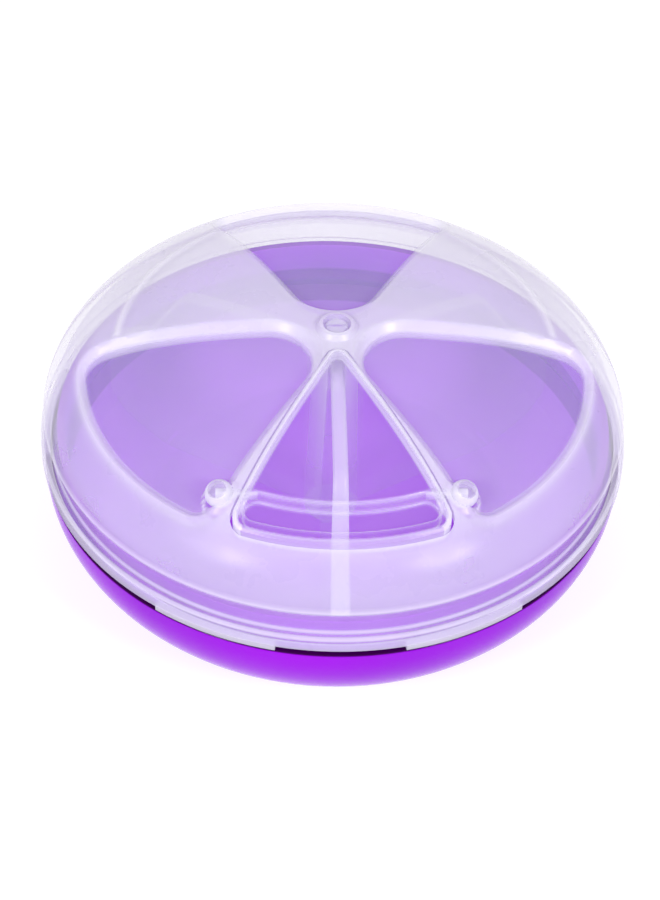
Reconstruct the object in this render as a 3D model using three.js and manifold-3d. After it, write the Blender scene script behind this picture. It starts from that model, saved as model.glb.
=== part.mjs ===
// A round, flat-domed pocket pill case: a bowl, a three-arm divider, a turning frosted lid with three
// recessed petal windows, and a rocking wedge-shaped dispensing door.
// Millimetres, +Z up. Origin: the middle of the flat underside. The closed door points along -Y.
import * as THREE from "three";
import { mergeVertices } from "three/addons/utils/BufferGeometryUtils.js";
import Module from "manifold-3d";

const wasm = await Module();
wasm.setup();

// ---- Driving dimensions ----
const caseRadius = 43; // widest radius, at the lid's skirt
const seamZ = 18; // height of the parting line between bowl and lid
const crownRise = 19.6; // lid crown above the parting line
const domePower = 2.8; // superellipse power of the dome
const gap = 0.35; // running gap between neighbours
const turns = 48; // facets round a turned shape

// ---- Lid ----
const lidWall = 1.2;
const shoulderRise = 6.5; // crease where the dome meets the lid's side wall
const sideFootRadius = 42.5;
const skirtTop = 1.9; // top of the wider skirt band, above the seam
const skirtBottom = -0.4;
const skirtInner = 41.7;
const windowRecess = 1.35;
const windowWall = 1.0;
const windowOuter = 37.2; // radius of the windows' outer edge
const windowOffset = 2.3; // how far the window's straight sides sit outside their own radial lines
const windowHalfAngle = THREE.MathUtils.degToRad(28.5);
const windowInnerRound = 7.8;
const windowOuterRound = 4;
const windowCount = 3;
const lugDrop = 1.0; // snap lugs below the skirt
const lugOuter = 42.7;
const lugHalfAngle = THREE.MathUtils.degToRad(12);
const lugSpread = THREE.MathUtils.degToRad(24); // lug centre from its pair's middle

// ---- Hub ----
const hubBossRadius = 2.75;
const hubBossRise = 0.8;
const hubHoleRadius = 2.0;
const pinHeadRadius = 1.65;
const pinShankRadius = 1.3;
const pinDepth = 8; // length of the pin below the crown
const pinSlotWidth = 0.5;
const pinSlotDepth = 1.2;

// ---- Door ----
const doorApexY = -4.75;
const doorApexRound = 1.5;
const doorSideStart = { x: 1.25, y: -5.6 };
const doorSideSlope = 0.509; // half-width gained per millimetre away from the hub
const doorOuter = 36.7; // radius of the door's curved outer edge
const doorCornerRound = 2.2;
const doorWall = 1.3;
const doorFrameWidth = 1.05;
const doorFrameRise = 0.4;
const gripInner = 31.3; // finger recess
const gripOuter = 35.0;
const gripHalfAngle = THREE.MathUtils.degToRad(20);
const gripDepth = 1.1;
const hingeY = -28.8;
const hingeX = 16.3; // centre of each hinge bead
const hingeBeadRadius = 1.95;
const hingeDrop = 0.75; // hinge axis below the dome beside the door
const hingePinRadius = 0.8;
const hingePinStart = 11.2; // where each pin starts, inside the door's edge
const hingePinReach = 0.5; // how far a pin runs past its bead's centre
const socketStart = 12;
const socketReach = 0.9;

// ---- Bowl ----
const bowlWall = 1.6;
const ledgeDrop = 1.7; // outer ledge below the seam
const bowlRimRadius = 42.6;
const bowlSideDrop = 2.75; // where the rounded side starts, below the seam
const bowlDepth = 24; // semi-axis of the rounded side
const bowlPower = 2.03;
const footRadius = 29;
const neckOuter = 40.6;
const neckInner = 39.4;
const neckRise = 3.0;

// ---- Divider ----
const armCount = 3;
const armTopHalf = 1.0; // half thickness of an arm at its top edge
const armDraft = 0.022; // half thickness gained per millimetre of depth
const armTopGap = 2.75; // arm's top edge below the dome
const armFall = 8; // how far the arm's top edge falls away to clear the door's heel
const armFallStart = 24; // radius where it starts to fall
const armFallEnd = 33;
const armEndRadius = 38.6;
const armFootRadius = 28.5;
const dividerHubRadius = 3.2;

const colours = {
  lid: new THREE.MeshStandardMaterial({ color: 0xe4dcf4, roughness: 0.45, metalness: 0 }),
  door: new THREE.MeshStandardMaterial({ color: 0xf1ecff, roughness: 0.25, metalness: 0 }),
  divider: new THREE.MeshStandardMaterial({ color: 0xdcc8f2, roughness: 0.4, metalness: 0 }),
  bowl: new THREE.MeshStandardMaterial({ color: 0x9a1fe0, roughness: 0.2, metalness: 0 }),
};

// ---- Solids ----
function solidFrom(geometry) {
  const bare = geometry.index ? geometry.toNonIndexed() : geometry.clone();
  const closed = mergeVertices(
    new THREE.BufferGeometry().setAttribute("position", bare.getAttribute("position")),
    1e-3,
  );
  const mesh = new wasm.Mesh({
    numProp: 3,
    vertProperties: closed.attributes.position.array,
    triVerts: new Uint32Array(closed.index.array),
  });
  return new wasm.Manifold(mesh);
}

function geometryFrom(solid) {
  const { vertProperties, triVerts } = solid.getMesh();
  return new THREE.BufferGeometry()
    .setAttribute("position", new THREE.BufferAttribute(vertProperties, 3))
    .setIndex(new THREE.BufferAttribute(triVerts, 1));
}

// Turns a closed outline of [radius, height] pairs, listed with the solid on the left, about +Z.
function turned(outline, segments = turns) {
  const points = outline.map(([r, z]) => new THREE.Vector2(r, z));
  const closed = [...points, points[0].clone()];
  return solidFrom(new THREE.LatheGeometry(closed, segments).rotateX(Math.PI / 2));
}

// A vertical prism over a plan outline.
function prism(shape, z0, z1, curveSegments = 8) {
  const options = { depth: z1 - z0, bevelEnabled: false, curveSegments };
  return solidFrom(new THREE.ExtrudeGeometry(shape, options).translate(0, 0, z0));
}

// A cylinder along X.
function crossRod(radius, x0, x1, y, z, sides) {
  const rod = new THREE.CylinderGeometry(radius, radius, x1 - x0, sides);
  return solidFrom(rod.rotateZ(-Math.PI / 2).translate((x0 + x1) / 2, y, z));
}

// A cylinder along Z, on the axis.
function upright(radius, z0, z1) {
  return turned([[0, z0], [radius, z0], [radius, z1], [0, z1]], 24);
}

function spun(solid, angle) {
  return solid.rotate([0, 0, THREE.MathUtils.radToDeg(angle)]);
}

const times = (count, make) => Array.from({ length: count }, (_, i) => make(i));
const union = (solids) => solids.reduce((sum, next) => sum.add(next));

// ---- Profiles ----
const domeHeight = (r) =>
  seamZ + crownRise * Math.pow(1 - Math.pow(r / caseRadius, domePower), 1 / domePower);

// Points down the dome from the axis to the shoulder crease, offset inwards by depth.
function domeProfile(depth, steps = 9) {
  const angleEnd = Math.asin(Math.pow(shoulderRise / crownRise, domePower / 2));
  const points = times(steps + 1, (i) => {
    const a = Math.PI / 2 + (angleEnd - Math.PI / 2) * (i / steps);
    const c = Math.max(Math.cos(a), 0);
    const s = Math.sin(a);
    const r = caseRadius * Math.pow(c, 2 / domePower);
    const z = seamZ + crownRise * Math.pow(s, 2 / domePower);
    const nr = Math.pow(r / caseRadius, domePower - 1) / caseRadius;
    const nz = Math.pow((z - seamZ) / crownRise, domePower - 1) / crownRise;
    const length = Math.hypot(nr, nz);
    return [r - (depth * nr) / length, z - (depth * nz) / length];
  });
  points[0][0] = 0;
  return points;
}

// Everything under the dome surface offset inwards by depth, down to a level below the lid.
function underDome(depth) {
  const down = domeProfile(depth);
  const last = down[down.length - 1];
  return turned([[0, seamZ - 1], [last[0], seamZ - 1], ...down.reverse()]);
}

const domeShell = (depth0, depth1) => underDome(depth0).subtract(underDome(depth1));

// Plan outline of one window, pointing along +X: two straight sides, an outer arc, rounded corners.
function windowShape(grow) {
  const outer = windowOuter + grow;
  const offset = windowOffset + grow;
  const sin = Math.sin(windowHalfAngle);
  const cos = Math.cos(windowHalfAngle);
  const inner = windowInnerRound + grow;
  const corner = windowOuterRound + grow;
  const innerX = (inner - offset) / sin;
  const turnAngle = Math.PI / 2 - windowHalfAngle;
  const cornerRadius = outer - corner;
  const lift = corner - offset; // corner circle's distance inside its radial line
  const cornerAngle = windowHalfAngle - Math.asin(lift / cornerRadius);
  const shape = new THREE.Shape();
  shape.absarc(0, 0, outer, -cornerAngle, cornerAngle, false);
  const cx = cornerRadius * Math.cos(cornerAngle);
  const cy = cornerRadius * Math.sin(cornerAngle);
  shape.absarc(cx, cy, corner, cornerAngle, windowHalfAngle + Math.PI / 2, false);
  shape.absarc(innerX, 0, inner, Math.PI - turnAngle, Math.PI + turnAngle, false);
  shape.absarc(cx, -cy, corner, -windowHalfAngle - Math.PI / 2, -cornerAngle, false);
  return shape;
}

// Plan outline of the door, pointing along -Y, grown sideways by grow.
function doorShape(grow) {
  const slope = Math.atan(doorSideSlope);
  const apexRound = doorApexRound + grow;
  const apexY = doorApexY - doorApexRound;
  const outer = doorOuter + grow;
  const corner = doorCornerRound + grow;
  // Signed distance of the side line from the origin, measured outwards along its normal.
  const nx = Math.cos(slope);
  const ny = Math.sin(slope);
  const side = doorSideStart.x * nx + doorSideStart.y * ny + grow;
  const inset = side - corner;
  const along = Math.sqrt((outer - corner) ** 2 - inset ** 2);
  const cx = inset * nx + along * ny;
  const cy = inset * ny - along * nx;
  const cornerAngle = Math.atan2(cy, cx);
  const shape = new THREE.Shape();
  shape.absarc(0, 0, outer, -Math.PI - cornerAngle, cornerAngle, false);
  shape.absarc(cx, cy, corner, cornerAngle, slope, false);
  shape.absarc(0, apexY, apexRound, slope, Math.PI - slope, false);
  shape.absarc(-cx, cy, corner, Math.PI - slope, Math.PI - cornerAngle, false);
  return shape;
}

// An arc-shaped slot between two radii, centred on -Y, with round ends.
function arcSlot(r0, r1, halfAngle, grow) {
  const middle = (r0 + r1) / 2;
  const end = (r1 - r0) / 2 + grow;
  const start = -Math.PI / 2 - halfAngle;
  const stop = -Math.PI / 2 + halfAngle;
  const shape = new THREE.Shape();
  shape.absarc(0, 0, r1 + grow, start, stop, false);
  shape.absarc(middle * Math.cos(stop), middle * Math.sin(stop), end, stop, stop + Math.PI, false);
  shape.absarc(0, 0, r0 - grow, stop, start, true);
  shape.absarc(middle * Math.cos(start), middle * Math.sin(start), end, start - Math.PI, start, false);
  return shape;
}

const aboveAll = seamZ + crownRise + 5;
const hingeZ = domeHeight(Math.hypot(13, hingeY)) - hingeDrop;

// ---- Lid shell ----
function makeLid() {
  const outer = domeProfile(0);
  const inner = domeProfile(lidWall);
  const innerFoot = [sideFootRadius - lidWall, seamZ + skirtTop + 0.3];
  const outline = [
    [skirtInner, seamZ + skirtBottom],
    [caseRadius - 0.3, seamZ + skirtBottom],
    [caseRadius, seamZ + skirtBottom + 0.3],
    [caseRadius, seamZ + skirtTop - 0.2],
    [caseRadius - 0.2, seamZ + skirtTop],
    [sideFootRadius, seamZ + skirtTop + 0.1],
    ...outer.slice().reverse(),
    ...inner,
    innerFoot,
    [skirtInner, seamZ + skirtTop - 0.4],
  ];
  let lid = turned(outline);
  const windowAngles = times(windowCount, (i) => Math.PI / 2 + (i * 2 * Math.PI) / windowCount);
  const tubShell = domeShell(lidWall / 2, windowRecess + windowWall);
  const recessFloor = underDome(windowRecess);
  for (const angle of windowAngles) {
    const tub = spun(prism(windowShape(windowWall), seamZ, aboveAll), angle).intersect(tubShell);
    const recess = spun(prism(windowShape(0), seamZ, aboveAll), angle).subtract(recessFloor);
    lid = lid.add(tub).subtract(recess);
  }
  const beads = [1, -1].map((side) => {
    const ball = new THREE.SphereGeometry(hingeBeadRadius, 14, 8);
    return solidFrom(ball.translate(side * hingeX, hingeY, hingeZ));
  });
  lid = union([lid, ...beads, makeHubBoss()]);
  const sockets = [1, -1].map((side) => {
    const ends = [side * socketStart, side * (hingeX + socketReach)];
    return crossRod(hingePinRadius + gap, Math.min(...ends), Math.max(...ends), hingeY, hingeZ, 14);
  });
  const opening = prism(doorShape(gap), seamZ + 4, aboveAll);
  const hubHole = upright(hubHoleRadius, seamZ + 5, aboveAll);
  lid = lid.subtract(opening).subtract(union(sockets)).subtract(hubHole);
  return lid.add(makeLugs());
}

function makeHubBoss() {
  const top = seamZ + crownRise;
  const outline = [
    [0, top - 2.2],
    [hubBossRadius + 0.3, top - 2.2],
    [hubBossRadius + 0.3, top - 0.3],
    [hubBossRadius, top + hubBossRise - 0.3],
    [hubBossRadius - 0.3, top + hubBossRise],
    [0, top + hubBossRise],
  ];
  return turned(outline, 24);
}

// Three pairs of snap lugs under the skirt, each pair about 120 degrees apart, one pair below the door.
function makeLugs() {
  const lugs = times(3, (pair) =>
    [1, -1].map((side) => {
      const middle = -Math.PI / 2 + (pair * 2 * Math.PI) / 3 + side * lugSpread;
      const shape = new THREE.Shape();
      shape.absarc(0, 0, lugOuter, middle - lugHalfAngle, middle + lugHalfAngle, false);
      shape.absarc(0, 0, skirtInner + 0.1, middle + lugHalfAngle, middle - lugHalfAngle, true);
      return prism(shape, seamZ + skirtBottom - lugDrop, seamZ + skirtBottom + 0.5, 8);
    }),
  );
  return union(lugs.flat());
}

// ---- Door flap ----
function makeDoor() {
  const plate = prism(doorShape(0), seamZ + 2, aboveAll).intersect(domeShell(0.15, doorWall));
  const frameBand = prism(doorShape(0), seamZ + 2, aboveAll).subtract(
    prism(doorShape(-doorFrameWidth), seamZ + 1, aboveAll + 1),
  );
  const frame = frameBand.intersect(underDome(-doorFrameRise).subtract(underDome(doorWall)));
  const gripCut = prism(arcSlot(gripInner, gripOuter, gripHalfAngle, 0), seamZ + 2, aboveAll);
  const gripPan = prism(arcSlot(gripInner, gripOuter, gripHalfAngle, 0.6), seamZ + 2, aboveAll);
  const pins = [1, -1].map((side) => {
    const ends = [side * hingePinStart, side * (hingeX + hingePinReach)];
    return crossRod(hingePinRadius, Math.min(...ends), Math.max(...ends), hingeY, hingeZ, 12);
  });
  return plate
    .add(frame)
    .subtract(gripCut)
    .add(gripPan.intersect(domeShell(gripDepth, gripDepth + 1.0)))
    .add(union(pins));
}

// ---- Hub pin ----
function makeHubPin() {
  const top = seamZ + crownRise;
  const shoulderZ = top - armTopGap + 0.6;
  const outline = [
    [0, top - pinDepth],
    [pinShankRadius, top - pinDepth],
    [pinShankRadius, shoulderZ],
    [pinHeadRadius, shoulderZ],
    [pinHeadRadius, top + hubBossRise - 0.7],
    [pinHeadRadius - 0.35, top + hubBossRise - 0.35],
    [0, top + hubBossRise - 0.35],
  ];
  const slot = new THREE.BoxGeometry(2 * pinHeadRadius + 1, pinSlotWidth, 2 * pinSlotDepth);
  return turned(outline, 24).subtract(solidFrom(slot.translate(0, 0, top + hubBossRise - 0.35)));
}

// ---- Bowl ----
// Outer radius of the rounded side at a height measured down from the seam.
const bowlRadius = (drop) => {
  const t = Math.max(drop - bowlSideDrop, 0) / bowlDepth;
  return bowlRimRadius * Math.pow(1 - Math.pow(t, bowlPower), 1 / bowlPower);
};

function bowlSide(inset, drops) {
  return drops.map((drop) => {
    const slope = (bowlRadius(drop + 0.05) - bowlRadius(drop - 0.05)) / 0.1;
    const length = Math.hypot(1, slope);
    return [bowlRadius(drop) - inset / length, seamZ - drop - (inset * slope) / length];
  });
}

function makeBowl() {
  const drops = [17.2, 16, 14, 11.5, 9, 6.5, 4.5, 2.75];
  const innerDrops = [2.75, 4.5, 6.5, 9, 11.5, 14, 15.6];
  const outline = [
    [0, 0],
    [footRadius, 0],
    [footRadius + 2.6, 0.25],
    ...bowlSide(0, drops),
    [bowlRimRadius, seamZ - ledgeDrop - 0.3],
    [bowlRimRadius - 0.3, seamZ - ledgeDrop],
    [neckOuter, seamZ - ledgeDrop],
    [neckOuter, seamZ + neckRise - 0.3],
    [neckOuter - 0.3, seamZ + neckRise],
    [neckInner, seamZ + neckRise],
    [neckInner, seamZ - 0.5],
    ...bowlSide(bowlWall + 1.4, innerDrops.slice(0, 2)),
    ...bowlSide(bowlWall, innerDrops.slice(2)),
    [footRadius + 0.5, bowlWall],
    [0, bowlWall],
  ];
  return turned(outline);
}

// ---- Divider ----
// Height of an arm's top edge: under the dome, then falling away towards the rim.
function armTop(r) {
  const t = THREE.MathUtils.smoothstep(r, armFallStart, armFallEnd);
  return domeHeight(r) - armTopGap - armFall * t;
}

// Side view of one arm along +X: rounded bottom to suit the bowl, top edge under the dome.
function armProfile() {
  const shape = new THREE.Shape();
  const foot = bowlWall + 0.3;
  shape.moveTo(0, foot);
  shape.lineTo(armFootRadius, foot);
  for (const [r, z] of bowlSide(bowlWall + 0.9, [14.5, 13, 11, 8.5, 6.5])) {
    shape.lineTo(Math.min(r, armEndRadius), z);
  }
  const topRadii = [armEndRadius, 36, 34, 32, 30, 28, 26, 24, 20, 16, 11, 5, 0];
  for (const r of topRadii) shape.lineTo(r, armTop(r));
  return shape;
}

function makeArm(angle) {
  // Extruded along its own thickness, then tapered so that it is thinner at the top.
  const bottomHalf = armTopHalf + armDraft * (seamZ + crownRise - armTopGap);
  const slab = new THREE.ExtrudeGeometry(armProfile(), { depth: 2 * bottomHalf, bevelEnabled: false });
  slab.rotateX(Math.PI / 2).translate(0, bottomHalf, 0);
  const position = slab.getAttribute("position");
  const top = seamZ + crownRise - armTopGap;
  for (let i = 0; i < position.count; i += 1) {
    const half = armTopHalf + armDraft * (top - position.getZ(i));
    position.setY(i, Math.sign(position.getY(i)) * half);
  }
  return spun(solidFrom(slab), angle);
}

function makeDivider() {
  const top = seamZ + crownRise - armTopGap;
  const arms = times(armCount, (i) => makeArm(-Math.PI / 2 + (i * 2 * Math.PI) / armCount));
  const foot = bowlWall + 0.3;
  const hub = turned([[0, foot], [dividerHubRadius + 0.8, foot], [dividerHubRadius, top], [0, top]], 24);
  const bore = upright(pinShankRadius + gap, top - pinDepth, top + 2);
  return union([...arms, hub]).subtract(bore);
}

// ---- Assembly ----
const pieces = [
  ["base_bowl", makeBowl(), colours.bowl],
  ["divider_insert", makeDivider(), colours.divider],
  ["hub_pin", makeHubPin(), colours.lid],
  ["lid_shell", makeLid(), colours.lid],
  ["door_flap", makeDoor(), colours.door],
];

const pillCase = new THREE.Group();
for (const [name, solid, material] of pieces) {
  const mesh = new THREE.Mesh(geometryFrom(solid), material);
  mesh.name = name;
  pillCase.add(mesh);
}

export default pillCase;
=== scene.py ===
"""A round pocket pill case in frosted and glossy plastic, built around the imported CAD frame.

Lengths are millimetres, as in the CAD, until a mesh is made: MM turns them into metres.
"""
from math import asin, atan, atan2, cos, hypot, pi, radians, sin, sqrt

import bmesh
import bpy
import numpy as np
from mathutils import Matrix, Vector


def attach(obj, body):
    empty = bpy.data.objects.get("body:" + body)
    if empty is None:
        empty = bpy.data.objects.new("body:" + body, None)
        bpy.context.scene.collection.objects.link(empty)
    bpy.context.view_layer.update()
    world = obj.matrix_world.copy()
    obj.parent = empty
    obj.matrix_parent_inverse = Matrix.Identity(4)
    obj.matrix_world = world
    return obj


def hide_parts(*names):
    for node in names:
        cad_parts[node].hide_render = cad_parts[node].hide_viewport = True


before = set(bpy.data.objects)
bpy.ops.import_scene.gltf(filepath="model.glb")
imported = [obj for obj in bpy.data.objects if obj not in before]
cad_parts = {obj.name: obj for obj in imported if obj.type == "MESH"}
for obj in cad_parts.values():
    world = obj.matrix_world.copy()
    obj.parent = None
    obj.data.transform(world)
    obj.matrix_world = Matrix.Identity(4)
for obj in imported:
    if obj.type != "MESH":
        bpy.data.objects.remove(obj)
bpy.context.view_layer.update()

MM = 0.001

# ---- Driving dimensions, the same as the CAD part's ----
CASE_RADIUS = 43.0  # widest radius, at the lid's skirt
SEAM_Z = 18.0  # height of the parting line between bowl and lid
CROWN_RISE = 19.6  # lid crown above the parting line
DOME_POWER = 2.8  # superellipse power of the dome
GAP = 0.35  # between pieces that move past each other
SECTORS = 3
SECTOR = 2 * pi / SECTORS

LID_WALL = 1.2
SHOULDER_RISE = 6.5  # crease where the dome meets the lid's side wall
SIDE_FOOT_RADIUS = 42.5
SKIRT_TOP = 1.9  # top of the wider skirt band, above the seam
SKIRT_BOTTOM = -0.4
SKIRT_INNER = 41.7
WINDOW_RECESS = 1.35
WINDOW_WALL = 1.0
WINDOW_OUTER = 37.2  # radius of the windows' outer edge
WINDOW_OFFSET = 2.3  # how far the straight sides sit outside their own radial lines
WINDOW_HALF_ANGLE = radians(28.5)
WINDOW_INNER_ROUND = 7.8
WINDOW_OUTER_ROUND = 4.0
WINDOW_ANGLES = [pi / 2 + i * SECTOR for i in range(SECTORS)]
LUG_DROP = 1.0  # snap lugs below the skirt
LUG_OUTER = 42.7
LUG_HALF_ANGLE = radians(12)
LUG_SPREAD = radians(24)  # lug centre from its pair's middle

HUB_BOSS_RADIUS = 2.75
HUB_BOSS_RISE = 0.8
HUB_HOLE_RADIUS = 2.0
PIN_HEAD_RADIUS = 1.65
PIN_SHANK_RADIUS = 1.3
PIN_DEPTH = 8.0  # length of the pin below the crown
PIN_SLOT_WIDTH = 0.5
PIN_SLOT_DEPTH = 1.2

DOOR_APEX_Y = -4.75
DOOR_APEX_ROUND = 1.5
DOOR_SIDE_X = 1.25
DOOR_SIDE_Y = -5.6
DOOR_SIDE_SLOPE = 0.509  # half-width gained per millimetre away from the hub
DOOR_OUTER = 36.7  # radius of the door's curved outer edge
DOOR_CORNER_ROUND = 2.2
DOOR_WALL = 1.3
DOOR_FRAME_WIDTH = 1.05
DOOR_FRAME_RISE = 0.4
GRIP_INNER = 31.3  # finger recess
GRIP_OUTER = 35.0
GRIP_HALF_ANGLE = radians(20)
GRIP_DEPTH = 1.1
HINGE_Y = -28.8
HINGE_X = 16.3  # centre of each hinge bead
HINGE_BEAD_RADIUS = 1.95
HINGE_DROP = 0.75  # hinge axis below the dome beside the door
HINGE_DOOR_X = 13.0
HINGE_PIN_RADIUS = 0.8
HINGE_PIN_START = 11.2  # where each pin starts, inside the door's edge
HINGE_PIN_REACH = 0.5  # how far a pin runs past its bead's centre

BOWL_WALL = 1.6
LEDGE_DROP = 1.7  # outer ledge below the seam
BOWL_RIM_RADIUS = 42.6
BOWL_SIDE_DROP = 2.75  # where the rounded side starts, below the seam
BOWL_DEPTH = 24.0  # semi-axis of the rounded side
BOWL_POWER = 2.03
FOOT_RADIUS = 29.0
NECK_OUTER = 40.6
NECK_INNER = 39.4
NECK_RISE = 3.0

ARM_TOP_HALF = 1.0  # half thickness of an arm at its top edge
ARM_DRAFT = 0.022  # half thickness gained per millimetre of depth
ARM_TOP_GAP = 2.75  # an arm's top edge below the dome
ARM_FALL = 8.0  # how far the top edge falls away to clear the door's heel
ARM_FALL_START = 24.0
ARM_FALL_END = 33.0
ARM_END_RADIUS = 38.6
ARM_FOOT_RADIUS = 28.5
DIVIDER_HUB_RADIUS = 3.2

CROWN_Z = SEAM_Z + CROWN_RISE
CUT_TOP = CROWN_Z + 5  # clear above the lid

# ---- How fine the meshes are ----
ARC_STEP = radians(4)
LONG_ARC_STEP = radians(2)
END_ARC_STEP = radians(10)
TURNED_COLUMNS = 256
HUB_COLUMNS = 64
SHARP_ANGLE = radians(32)
SAME_PLACE = 1e-4  # points closer than this count as one
TOUCHING = 0.02  # a vertex this close to a surface counts as on it

# ---- Camera and studio ----
CAMERA_ELEVATION = radians(43.8)
CAMERA_AZIMUTH = radians(-93.0)
CAMERA_DISTANCE = 7 * CASE_RADIUS * MM
CAMERA_ROLL = radians(2.2)
CAMERA_LENS = 81.0
CAMERA_SHIFT = (-0.0034, -0.0253)
CAMERA_CLIP_START = 0.01
SENSOR_HEIGHT = 36.0
KEY_PLACE = (0.33, -0.36, 0.37)
KEY_SIZE = 0.16
KEY_POWER = 1.8
BACK_PLACE = (0.0, 0.45, 0.6)
BACK_SIZE = 0.4
BACK_POWER = 0.6
WORLD_STRENGTH = 0.43
FLOOR_SIZE = 6.0
FLOOR_GREY = 0.40
FLOOR_GLOW = 0.72
FLOOR_ROUGHNESS = 0.9
MOST_CLEAR_FACES = 24


# ---- Plan curves ----
def dome_height(r):
    """Height of the lid's outer surface at radius r."""
    share = np.minimum(r, CASE_RADIUS) / CASE_RADIUS
    return SEAM_Z + CROWN_RISE * (1 - share ** DOME_POWER) ** (1 / DOME_POWER)


HINGE_Z = float(dome_height(hypot(HINGE_DOOR_X, HINGE_Y))) - HINGE_DROP


def arc(cx, cy, radius, start, stop, step=ARC_STEP):
    """Points on an arc from start to stop, both ends included."""
    count = max(2, int(abs(stop - start) / step) + 2)
    angles = np.linspace(start, stop, count)
    return np.c_[cx + radius * np.cos(angles), cy + radius * np.sin(angles)]


def outline(*pieces):
    """One closed outline from arcs, with doubled points dropped."""
    points = np.concatenate(pieces)
    step = np.hypot(*(points - np.roll(points, 1, axis=0)).T)
    return points[step > SAME_PLACE]


def turned_plan(points, angle):
    """The points turned round the origin."""
    c, s = cos(angle), sin(angle)
    return points @ np.array([[c, s], [-s, c]])


def window_outline(grow=0.0):
    """One petal window, pointing along +X: straight sides, an outer arc and rounded corners."""
    outer = WINDOW_OUTER + grow
    offset = WINDOW_OFFSET + grow
    inner = WINDOW_INNER_ROUND + grow
    corner = WINDOW_OUTER_ROUND + grow
    inner_x = (inner - offset) / sin(WINDOW_HALF_ANGLE)
    turn = pi / 2 - WINDOW_HALF_ANGLE
    corner_radius = outer - corner
    corner_angle = WINDOW_HALF_ANGLE - asin((corner - offset) / corner_radius)
    cx = corner_radius * cos(corner_angle)
    cy = corner_radius * sin(corner_angle)
    return outline(
        arc(0, 0, outer, -corner_angle, corner_angle, LONG_ARC_STEP),
        arc(cx, cy, corner, corner_angle, WINDOW_HALF_ANGLE + pi / 2),
        arc(inner_x, 0, inner, pi - turn, pi + turn),
        arc(cx, -cy, corner, -WINDOW_HALF_ANGLE - pi / 2, -corner_angle),
    )


def door_outline(grow=0.0):
    """The door's wedge, which widens along -Y: arcs joined by straight sides."""
    slope = atan(DOOR_SIDE_SLOPE)
    outer = DOOR_OUTER + grow
    corner = DOOR_CORNER_ROUND + grow
    nx, ny = cos(slope), sin(slope)
    inset = DOOR_SIDE_X * nx + DOOR_SIDE_Y * ny + grow - corner
    along = sqrt((outer - corner) ** 2 - inset ** 2)
    cx = inset * nx + along * ny
    cy = inset * ny - along * nx
    corner_angle = atan2(cy, cx)
    return outline(
        arc(0, 0, outer, -pi - corner_angle, corner_angle, LONG_ARC_STEP),
        arc(cx, cy, corner, corner_angle, slope),
        arc(0, DOOR_APEX_Y - DOOR_APEX_ROUND, DOOR_APEX_ROUND + grow, slope, pi - slope),
        arc(-cx, cy, corner, pi - slope, pi - corner_angle),
    )


def slot_outline(grow=0.0):
    """The finger recess: an arc-shaped slot with round ends, centred on -Y."""
    middle = (GRIP_INNER + GRIP_OUTER) / 2
    end = (GRIP_OUTER - GRIP_INNER) / 2 + grow
    start = -pi / 2 - GRIP_HALF_ANGLE
    stop = -pi / 2 + GRIP_HALF_ANGLE
    return outline(
        arc(0, 0, GRIP_OUTER + grow, start, stop, LONG_ARC_STEP),
        arc(middle * cos(stop), middle * sin(stop), end, stop, stop + pi, END_ARC_STEP),
        arc(0, 0, GRIP_INNER - grow, stop, start, LONG_ARC_STEP),
        arc(middle * cos(start), middle * sin(start), end, start - pi, start, END_ARC_STEP),
    )


def signed_distance(x, y, points):
    """Distance from each (x, y) to a closed outline, negative inside it."""
    x, y = np.broadcast_arrays(x, y)
    px, py = x.ravel(), y.ravel()
    best = np.full(px.shape, np.inf)
    inside = np.zeros(px.shape, bool)
    nexts = np.roll(points, -1, axis=0)
    for (ax, ay), (bx, by) in zip(points, nexts):
        ex, ey = bx - ax, by - ay
        t = np.clip(((px - ax) * ex + (py - ay) * ey) / (ex * ex + ey * ey), 0, 1)
        best = np.minimum(best, np.hypot(px - ax - t * ex, py - ay - t * ey))
        if ay != by:
            crosses = (ay > py) != (by > py)
            inside ^= crosses & (px < ex * (py - ay) / (by - ay) + ax)
    return np.where(inside, -best, best).reshape(x.shape)


def ease(t):
    """Smooth step from 0 to 1."""
    t = np.clip(t, 0, 1)
    return t * t * (3 - 2 * t)


def soft_ramp(t):
    """A ramp from 0 to 1, halfway between a straight one and a smooth step."""
    t = np.clip(t, 0, 1)
    return (t + ease(t)) / 2


def fade(value, start, width):
    """A smooth step from 0 at start to 1 at start + width."""
    return ease((value - start) / width)


def blend(low, high, share):
    """The value that lies the given share of the way from low to high."""
    return low + (high - low) * share


def near(value, centre, width):
    """A soft bump, one at the centre."""
    return np.exp(-((value - centre) / width) ** 2)


# ---- Meshes ----
def mesh_object(name, vertices, faces, smooth=True):
    """A new object from vertices in millimetres."""
    mesh = bpy.data.meshes.new(name)
    mesh.from_pydata((np.asarray(vertices) * MM).tolist(), [], [list(map(int, f)) for f in faces])
    mesh.validate()
    mesh.update()
    mesh.polygons.foreach_set("use_smooth", [smooth] * len(mesh.polygons))
    obj = bpy.data.objects.new(name, mesh)
    bpy.context.scene.collection.objects.link(obj)
    return obj


def ring_faces(rows, columns, closed_rows):
    """Quads over a grid of rows by columns. The columns wrap round, and closed rows do too."""
    i = np.arange(rows if closed_rows else rows - 1)[:, None]
    j = np.arange(columns)[None, :]
    a = i * columns + j
    b = i * columns + (j + 1) % columns
    c = ((i + 1) % rows) * columns + (j + 1) % columns
    d = ((i + 1) % rows) * columns + j
    return np.stack([a, b, c, d], -1).reshape(-1, 4)


def turned_points(profile, columns):
    """A grid of points: each [radius, height] of the profile swept round +Z."""
    angles = np.arange(columns) * 2 * pi / columns
    r = np.array([p[0] for p in profile])[:, None]
    z = np.array([p[1] for p in profile])[:, None]
    return np.stack([r * np.cos(angles), r * np.sin(angles), z + 0 * angles], -1)


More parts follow.
